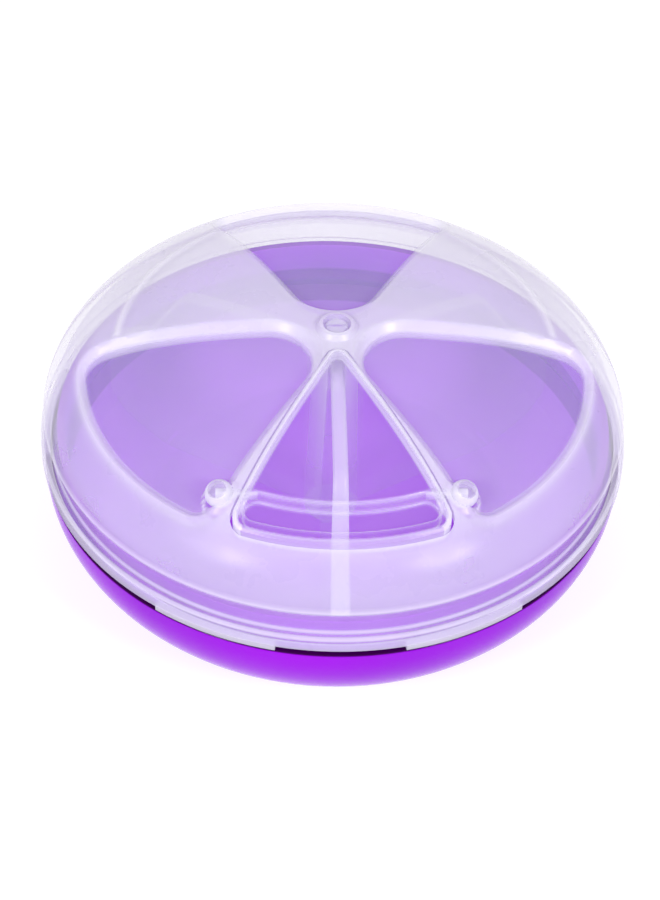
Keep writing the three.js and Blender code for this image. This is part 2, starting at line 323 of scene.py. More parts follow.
def turned_object(name, profile, columns=TURNED_COLUMNS):
    """A closed turned piece. The profile is a loop with the solid on its left, clear of the axis."""
    points = turned_points(profile, columns)
    return mesh_object(name, points.reshape(-1, 3), ring_faces(len(profile), columns, True))


def rounded(profile, steps=4):
    """The profile, with each corner whose third number is a radius turned into a small arc."""
    made = []
    count = len(profile)
    for i, corner in enumerate(profile):
        p = np.array(corner[:2], float)
        if len(corner) == 2:
            made.append(tuple(p))
            continue
        before = np.array(profile[i - 1][:2], float) - p
        after = np.array(profile[(i + 1) % count][:2], float) - p
        start = p + before / np.linalg.norm(before) * corner[2]
        stop = p + after / np.linalg.norm(after) * corner[2]
        for t in np.linspace(0, 1, steps + 1):
            made.append(tuple((1 - t) ** 2 * start + 2 * t * (1 - t) * p + t ** 2 * stop))
    return made


def dense(profile, spacing):
    """The profile with points added so that no stretch is longer than spacing."""
    made = []
    for a, b in zip(profile, profile[1:] + profile[:1]):
        count = max(1, int(np.ceil(hypot(b[0] - a[0], b[1] - a[1]) / spacing)))
        for k in range(count):
            made.append((a[0] + (b[0] - a[0]) * k / count, a[1] + (b[1] - a[1]) * k / count))
    return made


def prism_object(name, points, z0, z1):
    """A plan outline pulled up from z0 to z1."""
    count = len(points)
    low = np.c_[points, np.full(count, z0)]
    high = np.c_[points, np.full(count, z1)]
    sides = [(i, (i + 1) % count, (i + 1) % count + count, i + count) for i in range(count)]
    faces = [tuple(range(count - 1, -1, -1)), tuple(range(count, 2 * count)), *sides]
    return mesh_object(name, np.concatenate([low, high]), faces, smooth=False)


def cut(obj, tool, operation):
    """Applies one exact boolean and deletes the tool."""
    modifier = obj.modifiers.new("cut", "BOOLEAN")
    modifier.operation = operation
    modifier.solver = "EXACT"
    modifier.object = tool
    apply_modifiers(obj)
    bpy.data.objects.remove(tool, do_unlink=True)


def apply_modifiers(obj):
    """Swaps the object's mesh for its mesh after the modifiers."""
    depsgraph = bpy.context.evaluated_depsgraph_get()
    made = bpy.data.meshes.new_from_object(obj.evaluated_get(depsgraph))
    old = obj.data
    obj.modifiers.clear()
    obj.data = made
    bpy.data.meshes.remove(old)


def join(target, *others):
    """Adds the meshes of others to target."""
    bm = bmesh.new()
    bm.from_mesh(target.data)
    for other in others:
        bm.from_mesh(other.data)
    bm.to_mesh(target.data)
    bm.free()
    for other in others:
        bpy.data.objects.remove(other, do_unlink=True)


def soften(obj):
    """Smooth shading with the sharper edges kept."""
    obj.data.polygons.foreach_set("use_smooth", [True] * len(obj.data.polygons))
    bm = bmesh.new()
    bm.from_mesh(obj.data)
    for edge in bm.edges:
        edge.smooth = len(edge.link_faces) == 2 and edge.calc_face_angle(0) < SHARP_ANGLE
    bm.to_mesh(obj.data)
    bm.free()


def coordinates(obj):
    """Vertex places in millimetres."""
    found = np.empty(len(obj.data.vertices) * 3, np.float32)
    obj.data.vertices.foreach_get("co", found)
    return found.reshape(-1, 3) / MM


def paint(obj, name, values):
    """Stores one number per vertex for the material to read."""
    layer = obj.data.attributes.new(name, "FLOAT", "POINT")
    layer.data.foreach_set("value", np.asarray(values, np.float32))


# ---- Plan distances that several pieces share ----
WINDOWS = [turned_plan(window_outline(), angle) for angle in WINDOW_ANGLES]
DOOR = door_outline()
GRIP = slot_outline()


def window_distance(x, y):
    """Distance to the nearest window's outline, negative inside a window."""
    return np.minimum.reduce([signed_distance(x, y, shape) for shape in WINDOWS])


# ---- Lid ----
DOME_STATIONS = 150
LID_COLUMNS = 540
LID_SPACING = 0.25
STEP_ROUND = 0.25
SKIRT_ROUND = 0.3
SKIRT_INNER_ROUND = 0.2
STEP_SLOPE = 0.1  # how far the side wall's foot stands above the skirt's top
SKIRT_ROOF_DROP = 0.4
SKIRT_ROOF_RISE = 0.3
OPENING_CUT_BOTTOM = SEAM_Z + 4
WINDOW_UNDER_SPREAD = 0.55  # the window's underside is that much wider than its recess
SPOKE_LINE_RADIUS = 31.6
SPOKE_LINE_WIDTH = 0.45
SPOKE_LINE_RISE = 0.14
BEAD_FILLET_RISE = 0.45
BEAD_FILLET_REACH = 0.9
BEAD_LEAN = 0.43  # the dome's slope at the beads
BEAD_CROWN_START = 0.74
BEAD_CROWN_BLEND = 0.1
BEAD_SUBDIVISIONS = 4
BOSS_FOOT = 0.8
BOSS_ROUND = 0.35
SPOKE_END_GAP = 0.2
SPOKE_END_FADE = 0.8
LUG_ARC_STEP = radians(1)
LUG_INSET = 0.1
LUG_OVERLAP = 0.05

# How solid the milky plastic looks, both of its faces together: 0 is clear, 1 is opaque.
HAZE_SPOKE = 0.76
HAZE_SHOULDER = 0.50
HAZE_WINDOW = 0.32
HAZE_BORDER = 0.80
# A painted highlight: the bright rim of a clear bead, painted as milkier plastic.
HAZE_BEAD_HIGHLIGHT_RING = 0.80
HAZE_BEAD = 0.15
HAZE_BOSS = 0.80
HAZE_WALL = 0.24
HAZE_LINE = 0.80
HAZE_SPOKE_LINE = 0.20  # added to the spoke's own
HAZE_LUG = 0.60
HAZE_DOOR = 0.13
HAZE_DOOR_FRAME = 0.84
HAZE_DOOR_ARC = 0.55
HAZE_GRIP_EDGE = 0.62
HAZE_ARM = 0.12
HAZE_ARM_EDGE = 0.74
HAZE_HUB = 0.35
HAZE_PIN = 0.60

# Where the lid's haze changes: places and widths across the change.
SHOULDER_HAZE_START = 34.0
SHOULDER_HAZE_FADE = 5.0
WINDOW_CLEAR_START = WINDOW_RECESS - 0.3
WINDOW_CLEAR_FADE = 0.6
BORDER_PLACE = -0.3
BORDER_WIDTH = 0.55
SPOKE_LINE_HAZE_WIDTH = 0.5
BOSS_HAZE_REACH = 0.25
WALL_START_RADIUS = SIDE_FOOT_RADIUS - LID_WALL - 1
WALL_FADE_START = SHOULDER_RISE - 0.3
WALL_FADE = 0.5
CREASE_LINE_WIDTH = 0.35
STEP_LINE_WIDTH = 0.3
EDGE_LINE_WIDTH = 0.25
UNDER_BEAD_START = 0.1
UNDER_BEAD_FADE = 0.3
BEAD_LINE_PLACE = 0.25
BEAD_LINE_WIDTH = 0.25


def lid_profile():
    """The lid's closed section. Each point also says how much of a window's recess it takes and
    whether it is on the dome's outside."""
    crease = CASE_RADIUS * (1 - (SHOULDER_RISE / CROWN_RISE) ** DOME_POWER) ** (1 / DOME_POWER)
    radii = np.linspace(HUB_HOLE_RADIUS, crease, DOME_STATIONS)
    outer = np.c_[radii, dome_height(radii)]
    slope = np.gradient(outer[:, 1], outer[:, 0])
    length = np.hypot(1, slope)
    inner = outer + LID_WALL * np.c_[slope, -np.ones_like(slope)] / length[:, None]
    inner = inner[inner[:, 0] >= HUB_HOLE_RADIUS][::2]
    side = rounded([
        tuple(outer[-1]),
        (SIDE_FOOT_RADIUS, SEAM_Z + SKIRT_TOP + STEP_SLOPE, STEP_ROUND),
        (CASE_RADIUS, SEAM_Z + SKIRT_TOP, SKIRT_ROUND),
        (CASE_RADIUS, SEAM_Z + SKIRT_BOTTOM, SKIRT_ROUND),
        (SKIRT_INNER, SEAM_Z + SKIRT_BOTTOM, SKIRT_INNER_ROUND),
        (SKIRT_INNER, SEAM_Z + SKIRT_TOP - SKIRT_ROOF_DROP, SKIRT_INNER_ROUND),
        (SIDE_FOOT_RADIUS - LID_WALL, SEAM_Z + SKIRT_TOP + SKIRT_ROOF_RISE, SKIRT_ROUND),
        tuple(inner[-1]),
    ])
    side = dense(side, LID_SPACING)[:-1]
    inner_tip = (HUB_HOLE_RADIUS, CROWN_Z - LID_WALL)
    profile = [tuple(p) for p in outer] + side[1:] + [tuple(p) for p in inner[::-1]] + [inner_tip]
    under = (WINDOW_RECESS + WINDOW_WALL - LID_WALL) / WINDOW_RECESS
    takes = [1.0] * len(outer) + [0.0] * (len(side) - 1) + [under] * (len(inner) + 1)
    outside = [True] * len(outer) + [False] * (len(profile) - len(outer))
    return profile, np.array(takes), np.array(outside)


def make_lid():
    """The turned dome with its windows pressed in, an opening for the door, beads and lugs."""
    profile, takes, outside = lid_profile()
    points = turned_points(profile, LID_COLUMNS)
    x, y = points[..., 0], points[..., 1]
    distance = window_distance(x, y)
    spread = np.where(outside, 0.0, WINDOW_UNDER_SPREAD)[:, None]
    depth = WINDOW_RECESS * soft_ramp((spread - distance) / WINDOW_RECESS)
    points[..., 2] -= depth * takes[:, None]
    # Raised hub boss, with a soft foot.
    r = np.hypot(x, y)
    raised = HUB_BOSS_RISE * (1 - fade(r, HUB_BOSS_RADIUS - BOSS_ROUND, BOSS_FOOT))
    # A faint moulded line joins the windows' outer corners across the two rear spokes.
    line = near(r, SPOKE_LINE_RADIUS, SPOKE_LINE_WIDTH) * rear_spokes(y, distance)
    raised += SPOKE_LINE_RISE * line
    # Small fillets round the hinge beads.
    for side in (1, -1):
        reach = np.hypot(x - side * HINGE_X, y - HINGE_Y) - HINGE_BEAD_RADIUS
        raised += BEAD_FILLET_RISE * (1 - fade(reach, 0, BEAD_FILLET_REACH))
    points[..., 2] += raised * outside[:, None]
    faces = ring_faces(len(profile), LID_COLUMNS, True)[:, ::-1]
    lid = mesh_object("frosted_lid", points.reshape(-1, 3), faces)
    cut(lid, prism_object("opening", door_outline(GAP), OPENING_CUT_BOTTOM, CUT_TOP), "DIFFERENCE")
    join(lid, *[make_bead(side) for side in (1, -1)], *make_lugs())
    soften(lid)
    paint_lid(lid)
    return lid


def make_bead(side):
    """A hinge bead: a ball that stands half out of the lid."""
    bm = bmesh.new()
    bmesh.ops.create_icosphere(bm, subdivisions=BEAD_SUBDIVISIONS, radius=HINGE_BEAD_RADIUS * MM)
    mesh = bpy.data.meshes.new("bead")
    bm.to_mesh(mesh)
    bm.free()
    mesh.transform(Matrix.Translation(Vector((side * HINGE_X, HINGE_Y, HINGE_Z)) * MM))
    bead = bpy.data.objects.new("bead", mesh)
    bpy.context.scene.collection.objects.link(bead)
    return bead


def make_lugs():
    """The snap lugs under the skirt, a pair below the door and a pair every sector round from it."""
    bottom = SEAM_Z + SKIRT_BOTTOM - LUG_DROP
    top = SEAM_Z + SKIRT_BOTTOM + LUG_OVERLAP
    lugs = []
    for pair in range(SECTORS):
        for side in (1, -1):
            middle = -pi / 2 + pair * SECTOR + side * LUG_SPREAD
            start, stop = middle - LUG_HALF_ANGLE, middle + LUG_HALF_ANGLE
            plan = outline(
                arc(0, 0, LUG_OUTER, start, stop, LUG_ARC_STEP),
                arc(0, 0, SKIRT_INNER + LUG_INSET, stop, start, LUG_ARC_STEP),
            )
            lugs.append(prism_object("lug", plan, bottom, top))
    return lugs


def rear_spokes(y, distance):
    """One on the two spokes beside the back window, fading out at the window edges."""
    return fade(distance, SPOKE_END_GAP, SPOKE_END_FADE) * (y > 0)


def bead_haze(co):
    """A painted highlight ring round each bead's clearer crown, standing in for the bright rim that
    light bent through the clear ball gives, and where the bead is.
    """
    haze = np.zeros(len(co))
    on_bead = np.zeros(len(co), bool)
    for side in (1, -1):
        centre = np.array([side * HINGE_X, HINGE_Y, HINGE_Z])
        flat = centre[:2] / np.hypot(*centre[:2])
        axis = np.array([*(flat * BEAD_LEAN), 1]) / hypot(BEAD_LEAN, 1)
        out = co - centre
        reach = np.linalg.norm(out, axis=1)
        facing = out @ axis / np.maximum(reach, SAME_PLACE)
        here = np.abs(reach - HINGE_BEAD_RADIUS) < TOUCHING
        crown = fade(facing, BEAD_CROWN_START, BEAD_CROWN_BLEND)
        haze = np.where(here, blend(HAZE_BEAD_HIGHLIGHT_RING, HAZE_BEAD, crown), haze)
        on_bead |= here
    return haze, on_bead


def paint_lid(lid):
    """How milky the plastic is: clearest in the side wall and windows, milkiest along edges."""
    co = coordinates(lid)
    x, y, z = co.T
    r = np.hypot(x, y)
    rise = z - SEAM_Z
    distance = window_distance(x, y)
    haze = blend(HAZE_SPOKE, HAZE_SHOULDER, fade(r, SHOULDER_HAZE_START, SHOULDER_HAZE_FADE))
    haze = blend(haze, HAZE_WINDOW, fade(-distance, WINDOW_CLEAR_START, WINDOW_CLEAR_FADE))
    haze = blend(haze, HAZE_BORDER, near(distance, BORDER_PLACE, BORDER_WIDTH))
    spoke_line = near(r, SPOKE_LINE_RADIUS, SPOKE_LINE_HAZE_WIDTH) * rear_spokes(y, distance)
    haze += HAZE_SPOKE_LINE * spoke_line
    haze = np.maximum(haze, HAZE_BOSS * (1 - fade(r, HUB_BOSS_RADIUS + BOSS_HAZE_REACH, BOSS_FOOT)))
    # The side wall is clearer, between bright lines at the crease, the skirt's step and its edge.
    on_side = r > WALL_START_RADIUS
    haze = blend(haze, HAZE_WALL, (1 - fade(rise, WALL_FADE_START, WALL_FADE)) * on_side)
    lines = near(rise, SHOULDER_RISE, CREASE_LINE_WIDTH)
    lines += near(rise, SKIRT_TOP, STEP_LINE_WIDTH)
    lines += near(rise, SKIRT_BOTTOM, EDGE_LINE_WIDTH)
    haze = blend(haze, HAZE_LINE, np.minimum(lines, 1) * on_side)
    # Clear under each bead, with a bright line round it.
    from_bead = np.hypot(np.abs(x) - HINGE_X, y - HINGE_Y) - HINGE_BEAD_RADIUS
    haze = blend(haze, HAZE_BEAD, fade(-from_bead, UNDER_BEAD_START, UNDER_BEAD_FADE))
    haze = np.maximum(haze, HAZE_LINE * near(from_bead, BEAD_LINE_PLACE, BEAD_LINE_WIDTH))
    # Painted highlight ring on each bead.
    beads, on_bead = bead_haze(co)
    haze = np.where(on_bead, beads, haze)
    haze = np.where(rise < SKIRT_BOTTOM - TOUCHING, HAZE_LUG, haze)
    paint(lid, "haze", haze)


# ---- Door ----
DOOR_SPACING = 0.22
DOOR_GRID_HALF = 18.0
DOOR_GRID_OUTER_Y = -39.0
DOOR_GRID_INNER_Y = -3.0
DOOR_CUT_BOTTOM = SEAM_Z + 2
DOOR_PLATE_DROP = 0.15  # the plate's top below the dome
FRAME_SLOPE = 0.35
FRAME_LIP = 0.2  # how far the frame's outer edge is rounded down
FRAME_LIP_WIDTH = 0.25
GRIP_LIP = 0.22  # raised lip round the finger recess
GRIP_LIP_PLACE = 0.25
GRIP_LIP_WIDTH = 0.28
GRIP_PAN = 0.8  # the recess stands that much proud underneath
GRIP_PAN_REACH = 0.6
GRIP_WALL = 0.7
FRAME_HAZE_START = -0.75 * DOOR_FRAME_WIDTH
FRAME_HAZE_FADE = 0.3
GRIP_EDGE_WIDTH = 0.3
HINGE_PIN_SEGMENTS = 32


def make_door():
    """A plate that follows the dome, trimmed to the door's outline, with two hinge pins."""
    xs = np.arange(-DOOR_GRID_HALF, DOOR_GRID_HALF + DOOR_SPACING, DOOR_SPACING)
    ys = np.arange(DOOR_GRID_OUTER_Y, DOOR_GRID_INNER_Y + DOOR_SPACING, DOOR_SPACING)
    x, y = np.meshgrid(xs, ys)
    base = dome_height(np.hypot(x, y))
    edge = signed_distance(x, y, DOOR)
    grip = signed_distance(x, y, GRIP)
    frame_rise = (DOOR_FRAME_RISE + DOOR_PLATE_DROP) * fade(edge, -DOOR_FRAME_WIDTH, FRAME_SLOPE)
    lip = FRAME_LIP * fade(edge, -FRAME_LIP_WIDTH, FRAME_LIP_WIDTH)
    top = base - DOOR_PLATE_DROP + frame_rise - lip
    top -= (GRIP_DEPTH - DOOR_PLATE_DROP) * soft_ramp(-grip / GRIP_WALL)
    top += GRIP_LIP * near(grip, GRIP_LIP_PLACE, GRIP_LIP_WIDTH)
    bottom = base - DOOR_WALL - GRIP_PAN * soft_ramp((GRIP_PAN_REACH - grip) / GRIP_WALL)
    door = slab_object("door_panel", x, y, top, bottom)
    cut(door, prism_object("trim", DOOR, DOOR_CUT_BOTTOM, CUT_TOP), "INTERSECT")
    join(door, *[make_pin(side) for side in (1, -1)])
    soften(door)
    paint_door(door)
    return door


def slab_object(name, x, y, top, bottom):
    """A closed slab over a grid of places, between two heights given at each place."""
    rows, columns = x.shape
    count = rows * columns
    upper = np.stack([x, y, top], -1).reshape(-1, 3)
    lower = np.stack([x, y, bottom], -1).reshape(-1, 3)
    index = np.arange(count).reshape(rows, columns)
    corners = [index[:-1, :-1], index[:-1, 1:], index[1:, 1:], index[1:, :-1]]
    quads = np.stack(corners, -1).reshape(-1, 4)
    rim = np.concatenate([index[0, :-1], index[:-1, -1], index[-1, :0:-1], index[:0:-1, 0]])
    walls = np.stack([np.roll(rim, -1), rim, rim + count, np.roll(rim, -1) + count], -1)
    faces = np.concatenate([quads, quads[:, ::-1] + count, walls])
    return mesh_object(name, np.concatenate([upper, lower]), faces)


def paint_door(door):
    """Clear in the middle, with a milky frame and a milky edge round the finger recess."""
    x, y, _ = coordinates(door).T
    edge = signed_distance(x, y, DOOR)
    grip = signed_distance(x, y, GRIP)
    # The frame's curved outer part is fainter than its two straight sides.
    on_arc = np.abs(edge - np.hypot(x, y) + DOOR_OUTER) < TOUCHING
    frame_haze = np.where(on_arc, HAZE_DOOR_ARC, HAZE_DOOR_FRAME)
    haze = blend(HAZE_DOOR, frame_haze, fade(edge, FRAME_HAZE_START, FRAME_HAZE_FADE))
    haze = np.maximum(haze, HAZE_GRIP_EDGE * near(grip, 0, GRIP_EDGE_WIDTH))
    paint(door, "haze", haze)


def make_pin(side):
    """A hinge pin from the door's edge into a bead."""
    start = side * HINGE_PIN_START
    stop = side * (HINGE_X + HINGE_PIN_REACH)
    middle = Vector(((start + stop) / 2, HINGE_Y, HINGE_Z)) * MM
    radius = HINGE_PIN_RADIUS * MM
    bm = bmesh.new()
    bmesh.ops.create_cone(
        bm,
        cap_ends=True,
        segments=HINGE_PIN_SEGMENTS,
        radius1=radius,
        radius2=radius,
        depth=abs(stop - start) * MM,
        matrix=Matrix.Translation(middle) @ Matrix.Rotation(pi / 2, 4, "Y"),
    )
    mesh = bpy.data.meshes.new("pin")
    bm.to_mesh(mesh)
    bm.free()
    pin = bpy.data.objects.new("pin", mesh)
    bpy.context.scene.collection.objects.link(pin)
    return pin


# ---- Bowl ----
BOWL_STATIONS = 40
BOWL_SPACING = 0.6
BOWL_ROUND_STEPS = 10
AXIS_HOLE = 0.4  # a turned profile starts this far from the axis
AXIS_REACH = 0.5  # close_axis clears the faces inside this radius and fills the hole
SLOPE_STEP = 0.05  # half the height over which the side's slope is measured
SIDE_FOOT_DROP = 17.2  # where the outer side's curve ends, measured down from the seam
FOOT_BEVEL_REACH = 2.6
FOOT_BEVEL_RISE = 0.25
FOOT_ROUND = 0.5
RIM_ROUND = 0.35
NECK_ROUND = 0.3
NECK_FOOT_DROP = 0.5
NECK_BLEND_INSET = BOWL_WALL + 1.4
NECK_BLEND_DROPS = [BOWL_SIDE_DROP, 4.5]
INNER_TOP_DROP = 6.5
INNER_BOTTOM_DROP = 12.5
INNER_STATIONS = 20
FLOOR_CORNER_DROP = 15.6
FLOOR_CORNER_ROUND = 4.0
FLOOR_INSET = 2.0
# Painted light: the bowl's inside is painted paler, as if lit through the milky lid, and only faintly
# beyond this radius.
PAINTED_LIGHT_RADIUS = NECK_INNER + 0.1  # the inside is less pale beyond this radius
NECK_PAINTED_LIGHT = 0.15
# Where the painted shade on the ledge under the lid starts and ends.
CREVICE_START = -0.25  # heights above the ledge
CREVICE_START_FADE = 0.2
CREVICE_END = 0.1
CREVICE_END_FADE = 0.3
CREVICE_RADIUS_FADE = 0.3


def bowl_radius(drop):
    """The outer side's radius at a height measured down from the seam."""
    t = np.clip((drop - BOWL_SIDE_DROP) / BOWL_DEPTH, 0, 1)
    return BOWL_RIM_RADIUS * (1 - t ** BOWL_POWER) ** (1 / BOWL_POWER)


def bowl_side(inset, drops):
    """Points on the rounded side, offset inwards, at heights measured down from the seam."""
    points = []
    for drop in drops:
        above, below = bowl_radius(drop - SLOPE_STEP), bowl_radius(drop + SLOPE_STEP)
        slope = (below - above) / (2 * SLOPE_STEP)
        length = hypot(1, slope)
        points.append((bowl_radius(drop) - inset / length, SEAM_Z - drop - inset * slope / length))
    return points


def make_bowl():
    """The turned bowl: foot, rounded side, ledge, neck and the inside."""
    ledge_z = SEAM_Z - LEDGE_DROP
    neck_top = SEAM_Z + NECK_RISE
    inner_drops = np.linspace(INNER_TOP_DROP, INNER_BOTTOM_DROP, INNER_STATIONS)
    (floor_corner,) = bowl_side(BOWL_WALL, [FLOOR_CORNER_DROP])
    profile = [
        (AXIS_HOLE, 0.0),
        (FOOT_RADIUS, 0.0, FOOT_ROUND),
        (FOOT_RADIUS + FOOT_BEVEL_REACH, FOOT_BEVEL_RISE),
        *bowl_side(0, np.linspace(SIDE_FOOT_DROP, BOWL_SIDE_DROP, BOWL_STATIONS)),
        (BOWL_RIM_RADIUS, ledge_z, RIM_ROUND),
        (NECK_OUTER, ledge_z),
        (NECK_OUTER, neck_top, NECK_ROUND),
        (NECK_INNER, neck_top, NECK_ROUND),
        (NECK_INNER, SEAM_Z - NECK_FOOT_DROP),
        *bowl_side(NECK_BLEND_INSET, NECK_BLEND_DROPS),
        *bowl_side(BOWL_WALL, inner_drops),
        (*floor_corner, FLOOR_CORNER_ROUND),
        (FOOT_RADIUS - FLOOR_INSET, BOWL_WALL),
        (AXIS_HOLE, BOWL_WALL),
    ]
    bowl = turned_object("glossy_bowl", dense(rounded(profile, BOWL_ROUND_STEPS), BOWL_SPACING))
    close_axis(bowl)
    soften(bowl)
    paint_bowl(bowl)
    return bowl


def paint_bowl(bowl):
    """Painted light and shade: the inside is painted paler, as if lit through the milky lid, and the
    ledge under the lid is painted dark as shade.
    """
    x, y, z = coordinates(bowl).T
    r = np.hypot(x, y)
    # Painted light: the inside is painted paler, as if lit through the milky lid, and the neck's
    # outer face more faintly.
    on_inside = (r < bowl_radius(SEAM_Z - z) - BOWL_WALL / 2) & (z > BOWL_WALL / 2)
    paint(bowl, "inside", on_inside * np.where(r > PAINTED_LIGHT_RADIUS, NECK_PAINTED_LIGHT, 1.0))
    # Painted shade: the ledge and the foot of the neck under the lid's skirt are darkened nearly to
    # black.
    above_ledge = z - SEAM_Z + LEDGE_DROP
    shadowed = fade(above_ledge, CREVICE_START, CREVICE_START_FADE)
    shadowed *= 1 - fade(above_ledge, CREVICE_END, CREVICE_END_FADE)
    shadowed *= fade(r, SKIRT_INNER - CREVICE_RADIUS_FADE, CREVICE_RADIUS_FADE)
    paint(bowl, "ledge_shade", shadowed)


def close_axis(obj):
    """Fills the small round holes that a turned piece leaves at its axis."""
    bm = bmesh.new()
    bm.from_mesh(obj.data)
    limit = AXIS_REACH * MM
    inmost = [f for f in bm.faces if all(hypot(v.co.x, v.co.y) < limit for v in f.verts)]
    bmesh.ops.delete(bm, geom=inmost, context="FACES")
    bmesh.ops.holes_fill(bm, edges=[e for e in bm.edges if e.is_boundary], sides=0)
    bmesh.ops.recalc_face_normals(bm, faces=bm.faces)
    bm.to_mesh(obj.data)
    bm.free()


# ---- Divider ----
ARM_FOOT_Z = BOWL_WALL + 0.3
ARM_SIDE_INSET = BOWL_WALL + 0.9
ARM_SIDE_DROPS = np.linspace(14.5, 6.5, 12)
ARM_LEVELS = [0.0, 0.12, 0.4, 0.8, 1.3]  # below the top edge
ARM_TOP_SHARES = [0.45, 0.8]  # how thick the two highest levels are, which rounds the edge
ARM_STATIONS = 70
HUB_FOOT_SPREAD = 0.8
HUB_ROUND = 0.5
BORE_ROUND = 0.2
BORE_STEP = radians(8)
BORE_OVERSHOOT = 2.0
ARM_EDGE_DEPTH = 1.0
ARM_EDGE_FADE = 0.5
HUB_HAZE_REACH = 0.9


def arm_top(r):
    """An arm's top edge: under the dome, then falling away towards the rim."""
    fall = fade(r, ARM_FALL_START, ARM_FALL_END - ARM_FALL_START)
    return dome_height(r) - ARM_TOP_GAP - ARM_FALL * fall


def arm_bottom(r):
    """An arm's lower edge, which follows the inside of the bowl."""
    side = bowl_side(ARM_SIDE_INSET, ARM_SIDE_DROPS)
    radii = [ARM_FOOT_RADIUS] + [p[0] for p in side]
    heights = [ARM_FOOT_Z] + [p[1] for p in side]
    return np.interp(r, radii, heights)


def make_arm(angle):
    """A thin drafted wall along +X with a rounded top edge, then turned to its angle."""
    r = np.linspace(0, ARM_END_RADIUS, ARM_STATIONS)
    top = arm_top(r)
    levels = [top - below for below in ARM_LEVELS] + [arm_bottom(r)]
    z = np.stack(levels, 1)
    half = ARM_TOP_HALF + ARM_DRAFT * (CROWN_Z - ARM_TOP_GAP - z)
    half[:, :2] *= ARM_TOP_SHARES
    reach = np.broadcast_to(r[:, None], z.shape)
    left = np.stack([reach, half, z], -1)
    right = np.stack([reach, -half, z], -1)
    ring = np.concatenate([left, right[:, ::-1]], 1)
    stations, around = ring.shape[:2]
    steps = around // 2
    caps = [(i, i + 1, around - 2 - i, around - 1 - i) for i in range(steps - 1)]
    last = (stations - 1) * around
    far = [tuple(last + k for k in face[::-1]) for face in caps]
    sides = ring_faces(stations, around, False)[:, ::-1].tolist()
    arm = mesh_object("arm", ring.reshape(-1, 3), sides + caps + far)
    arm.data.transform(Matrix.Rotation(angle, 4, "Z"))
    outward(arm)
    return arm


def outward(obj):
    """Turns every face to point out."""
    bm = bmesh.new()
    bm.from_mesh(obj.data)
    bmesh.ops.recalc_face_normals(bm, faces=bm.faces)
    bm.to_mesh(obj.data)
    bm.free()


def make_divider():
    """A hub with a bore for the pin, and three arms."""
    top = CROWN_Z - ARM_TOP_GAP
    bore = PIN_SHANK_RADIUS + GAP
    profile = [
        (bore, top - PIN_DEPTH),
        (bore, ARM_FOOT_Z),
        (DIVIDER_HUB_RADIUS + HUB_FOOT_SPREAD, ARM_FOOT_Z),
        (DIVIDER_HUB_RADIUS, top, HUB_ROUND),
        (bore, top, BORE_ROUND),
    ]
    star = turned_object("divider_star", rounded(profile), HUB_COLUMNS)
    for k in range(SECTORS):
        cut(star, make_arm(-pi / 2 + k * SECTOR), "UNION")
    hole = arc(0, 0, bore, 0, 2 * pi - BORE_STEP, BORE_STEP)
    cut(star, prism_object("bore", hole, top - PIN_DEPTH, top + BORE_OVERSHOOT), "DIFFERENCE")
    soften(star)
    x, y, z = coordinates(star).T
    r = np.hypot(x, y)
    haze = blend(HAZE_ARM, HAZE_ARM_EDGE, fade(z - arm_top(r), -ARM_EDGE_DEPTH, ARM_EDGE_FADE))
    haze = np.maximum(haze, HAZE_HUB * (r < DIVIDER_HUB_RADIUS + HUB_HAZE_REACH))
    paint(star, "haze", haze)
    return star


# ---- Hub pin ----
PIN_HEAD_SINK = 0.35  # how far the head's top lies below the boss's
PIN_SHOULDER_RISE = 0.6
PIN_AXIS_HOLE = 0.02
PIN_TIP_ROUND = 0.3
PIN_HEAD_ROUND = 0.4
SLOT_OVERSHOOT = 1.0


def make_hub_pin():
    """A shank with a flat head that a slot splits."""
    tip = CROWN_Z - PIN_DEPTH
    head = CROWN_Z + HUB_BOSS_RISE - PIN_HEAD_SINK
    shoulder = CROWN_Z - ARM_TOP_GAP + PIN_SHOULDER_RISE
    profile = [
        (PIN_AXIS_HOLE, tip),
        (PIN_SHANK_RADIUS, tip, PIN_TIP_ROUND),
        (PIN_SHANK_RADIUS, shoulder),
        (PIN_HEAD_RADIUS, shoulder),
        (PIN_HEAD_RADIUS, head, PIN_HEAD_ROUND),
        (PIN_AXIS_HOLE, head),
    ]
    pin = turned_object("split_pin", rounded(profile), HUB_COLUMNS)
    close_axis(pin)
    half = PIN_SLOT_WIDTH / 2
    reach = PIN_HEAD_RADIUS + SLOT_OVERSHOOT
    slot = np.array([(-reach, -half), (reach, -half), (reach, half), (-reach, half)])
    cut(pin, prism_object("slot", slot, head - PIN_SLOT_DEPTH, head + SLOT_OVERSHOOT), "DIFFERENCE")
    soften(pin)
    paint(pin, "haze", np.full(len(pin.data.vertices), HAZE_PIN))
    return pin


# ---- Materials ----
PURPLE = (0.30, 0.0, 0.66)
PURPLE_DEEP = (0.26, 0.0, 0.60)
# Paler purple for the painted light on the inside, as if lit through the milky lid.
PURPLE_LIT_INSIDE = (0.54, 0.10, 0.96)
# The colour of the painted shade on the ledge under the lid.
PURPLE_PAINTED_SHADE = (0.030, 0.0, 0.045)
PURPLE_ROUGHNESS = (0.10, 0.18)
PURPLE_SPECULAR = 0.12
LILAC = (0.79, 0.75, 0.95)
WHITE = (0.89, 0.86, 0.98)
CLOUD_HAZE = 0.006  # how much the milkiness wanders, up or down
SATIN_BELOW = 0.05
SATIN_ABOVE = 0.07
NOISE_RANGE = (0.35, 0.65)  # where most of a noise's values lie


def material(name):
    """A new material, its node tree and its shader."""
    made = bpy.data.materials.new(name)
    made.use_nodes = True
    tree = made.node_tree
    return made, tree, tree.nodes["Principled BSDF"]


def node(tree, kind, **settings):
    """A new node. Each setting goes to the input of that name, or else to the node itself."""
    made = tree.nodes.new(kind)
    for key, value in settings.items():
        if key in made.inputs:
            made.inputs[key].default_value = value
        else:
            setattr(made, key, value)
    return made


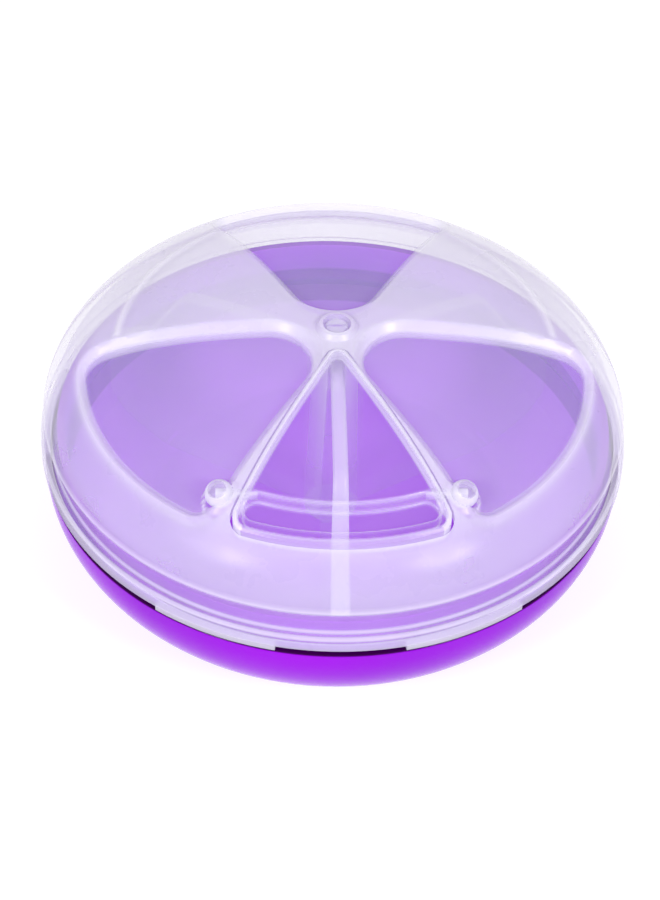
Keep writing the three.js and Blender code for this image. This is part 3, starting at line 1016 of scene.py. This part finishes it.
def noise(tree, scale, detail):
    """Noise in the piece's own coordinates, in metres."""
    place = node(tree, "ShaderNodeTexCoord")
    made = node(tree, "ShaderNodeTexNoise", Scale=scale, Detail=detail)
    tree.links.new(place.outputs["Object"], made.inputs["Vector"])
    return made


def mapped(tree, source, low, high):
    """A noise value's usual range turned into low..high."""
    made = node(tree, "ShaderNodeMapRange")
    usual_low, usual_high = NOISE_RANGE
    made.inputs["From Min"].default_value = usual_low
    made.inputs["From Max"].default_value = usual_high
    made.inputs["To Min"].default_value = low
    made.inputs["To Max"].default_value = high
    tree.links.new(source, made.inputs["Value"])
    return made.outputs["Result"]


def bump(tree, shader, source, strength, distance):
    """Lets a noise value raise and lower the surface, for light only."""
    made = node(tree, "ShaderNodeBump", Strength=strength, Distance=distance)
    tree.links.new(source, made.inputs["Height"])
    tree.links.new(made.outputs["Normal"], shader.inputs["Normal"])


def mixed(tree, factor, low, high):
    """A colour between low, a colour or a socket, and the colour high."""
    made = node(tree, "ShaderNodeMix", data_type="RGBA")
    if isinstance(low, tuple):
        made.inputs["A"].default_value = (*low, 1)
    else:
        tree.links.new(low, made.inputs["A"])
    made.inputs["B"].default_value = (*high, 1)
    tree.links.new(factor, made.inputs["Factor"])
    return made.outputs["Result"]


def frosted(name, rough):
    """Milky see-through plastic. The vertex number haze says how solid both faces together look."""
    made, tree, shader = material(name)
    haze = node(tree, "ShaderNodeAttribute", attribute_name="haze")
    cloud = noise(tree, scale=140, detail=4)
    spots = mapped(tree, cloud.outputs["Fac"], -CLOUD_HAZE, CLOUD_HAZE)
    total = node(tree, "ShaderNodeMath", operation="ADD")
    tree.links.new(haze.outputs["Fac"], total.inputs[0])
    tree.links.new(spots, total.inputs[1])
    # Each ray meets two surfaces, so one of them carries 1 - sqrt(1 - haze).
    clear = from_one(tree, total.outputs[0])
    root = node(tree, "ShaderNodeMath", operation="SQRT")
    tree.links.new(clear, root.inputs[0])
    tree.links.new(from_one(tree, root.outputs[0]), shader.inputs["Alpha"])
    tint = mixed(tree, haze.outputs["Fac"], LILAC, WHITE)
    tree.links.new(tint, shader.inputs["Base Color"])
    satin = mapped(tree, cloud.outputs["Fac"], rough - SATIN_BELOW, rough + SATIN_ABOVE)
    tree.links.new(satin, shader.inputs["Roughness"])
    fine = noise(tree, scale=2600, detail=2)
    bump(tree, shader, fine.outputs["Fac"], strength=0.06, distance=0.00003)
    return made


def from_one(tree, source):
    """One minus a value, kept between 0 and 1."""
    made = node(tree, "ShaderNodeMath", operation="SUBTRACT", use_clamp=True)
    made.inputs[0].default_value = 1
    tree.links.new(source, made.inputs[1])
    return made.outputs[0]


def glossy_purple():
    """Saturated gloss, with painted light making the inside paler and painted shade making the ledge
    under the lid nearly black.
    """
    made, tree, shader = material("purple_gloss")
    cloud = noise(tree, scale=35, detail=3)
    inside = node(tree, "ShaderNodeAttribute", attribute_name="inside")
    ledge_shade = node(tree, "ShaderNodeAttribute", attribute_name="ledge_shade")
    body = mixed(tree, mapped(tree, cloud.outputs["Fac"], 0, 1), PURPLE, PURPLE_DEEP)
    # Painted light on the inside.
    body = mixed(tree, inside.outputs["Fac"], body, PURPLE_LIT_INSIDE)
    # Painted shade on the ledge under the lid.
    body = mixed(tree, ledge_shade.outputs["Fac"], body, PURPLE_PAINTED_SHADE)
    tree.links.new(body, shader.inputs["Base Color"])
    scuffs = noise(tree, scale=900, detail=3)
    tree.links.new(mapped(tree, scuffs.outputs["Fac"], *PURPLE_ROUGHNESS), shader.inputs["Roughness"])
    shader.inputs["Specular IOR Level"].default_value = PURPLE_SPECULAR
    orange_peel = noise(tree, scale=260, detail=2)
    bump(tree, shader, orange_peel.outputs["Fac"], strength=0.03, distance=0.0001)
    return made


def assign(obj, made):
    """Gives the object one material."""
    obj.data.materials.clear()
    obj.data.materials.append(made)


# ---- Assembly ----
lid = make_lid()
door = make_door()
bowl = make_bowl()
divider = make_divider()
hub_pin = make_hub_pin()

assign(lid, frosted("lid_frost", rough=0.30))
assign(door, frosted("door_frost", rough=0.22))
assign(divider, frosted("divider_frost", rough=0.35))
assign(hub_pin, frosted("pin_frost", rough=0.30))
assign(bowl, glossy_purple())

PIECES = [
    (lid, "lid", "lid_shell", "lid_plastic"),
    (door, "door", "door_flap", "door_plastic"),
    (bowl, "case", "base_bowl", "bowl_plastic"),
    (divider, "case", "divider_insert", "divider_plastic"),
    (hub_pin, "pivot", "hub_pin", "pin_plastic"),
]
for piece, body, cad_node, slot in PIECES:
    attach(piece, body)
    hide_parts(cad_node)


# ---- Floor, light and camera ----
AIM = Vector((0, 0, SEAM_Z * MM))


def make_floor():
    """A pale floor that glows a little, so that it stays white round the case."""
    bpy.ops.mesh.primitive_plane_add(size=FLOOR_SIZE, location=(0, 0, 0))
    floor = bpy.context.object
    floor.name = "floor"
    made, _, shader = material("pale_floor")
    shader.inputs["Base Color"].default_value = (FLOOR_GREY, FLOOR_GREY, FLOOR_GREY, 1)
    shader.inputs["Roughness"].default_value = FLOOR_ROUGHNESS
    shader.inputs["Emission Color"].default_value = (1, 1, 1, 1)
    shader.inputs["Emission Strength"].default_value = FLOOR_GLOW
    assign(floor, made)


def area_light(name, place, size, power):
    """A round soft light aimed at the middle of the case."""
    data = bpy.data.lights.new(name, "AREA")
    data.shape = "DISK"
    data.size = size
    data.energy = power
    lamp = bpy.data.objects.new(name, data)
    lamp.location = place
    lamp.rotation_euler = (AIM - Vector(place)).to_track_quat("-Z", "Y").to_euler()
    bpy.context.scene.collection.objects.link(lamp)


def make_studio():
    """A white world, two key lights in front and a soft one above and behind."""
    world = bpy.data.worlds.new("studio")
    world.use_nodes = True
    background = world.node_tree.nodes["Background"]
    background.inputs["Color"].default_value = (1, 1, 1, 1)
    background.inputs["Strength"].default_value = WORLD_STRENGTH
    bpy.context.scene.world = world
    x, y, z = KEY_PLACE
    area_light("key_left", (-x, y, z), KEY_SIZE, KEY_POWER)
    area_light("key_right", (x, y, z), KEY_SIZE, KEY_POWER)
    area_light("back_top", BACK_PLACE, BACK_SIZE, BACK_POWER)


def make_camera():
    """The camera above the front, aimed at the middle of the seam."""
    data = bpy.data.cameras.new("camera")
    data.sensor_fit = "VERTICAL"
    data.sensor_height = SENSOR_HEIGHT
    data.lens = CAMERA_LENS
    data.shift_x, data.shift_y = CAMERA_SHIFT
    data.clip_start = CAMERA_CLIP_START
    camera = bpy.data.objects.new("camera", data)
    bpy.context.scene.collection.objects.link(camera)
    out = Vector((
        cos(CAMERA_ELEVATION) * cos(CAMERA_AZIMUTH),
        cos(CAMERA_ELEVATION) * sin(CAMERA_AZIMUTH),
        sin(CAMERA_ELEVATION),
    ))
    place = Matrix.Translation(AIM + out * CAMERA_DISTANCE)
    turn = (-out).to_track_quat("-Z", "Y").to_matrix().to_4x4()
    camera.matrix_world = place @ turn @ Matrix.Rotation(CAMERA_ROLL, 4, "Z")
    bpy.context.scene.camera = camera


make_floor()
make_studio()
make_camera()
bpy.context.scene.view_settings.view_transform = "Standard"
# A ray through the lid, the door and two divider arms meets more clear faces than the default of 8.
bpy.context.scene.cycles.transparent_max_bounces = MOST_CLEAR_FACES
